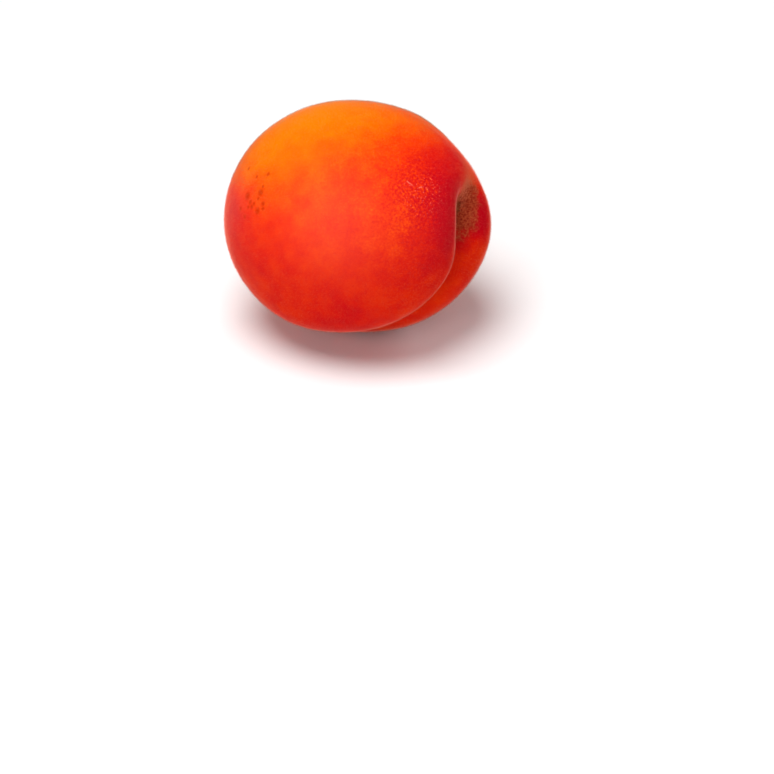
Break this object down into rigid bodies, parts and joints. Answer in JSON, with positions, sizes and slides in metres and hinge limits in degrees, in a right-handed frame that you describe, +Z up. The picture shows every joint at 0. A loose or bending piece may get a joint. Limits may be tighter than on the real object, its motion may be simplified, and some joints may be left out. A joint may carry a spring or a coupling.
{
  "type": "apricot",
  "caption": "Whole ripe apricot lying on its side, with a suture groove, a stem cavity and a small flat spot to rest on.",
  "frame": {"origin": "middle of the bounding box's bottom face, level with the flat spot that the fruit rests on", "axes": "+Z up from the surface it lies on; +X across its longest extent, towards the stem end, which points 24.5 degrees from +X towards -Y and 19 degrees up"},
  "size_m": [0.0522, 0.0488, 0.0468],
  "materials": {
    "skin": "fine velvety fruit skin with a soft satin gloss, orange with a red blush"
  },
  "bodies": {
    "root": {"apricot": "skin"}
  },
  "joints": []
}
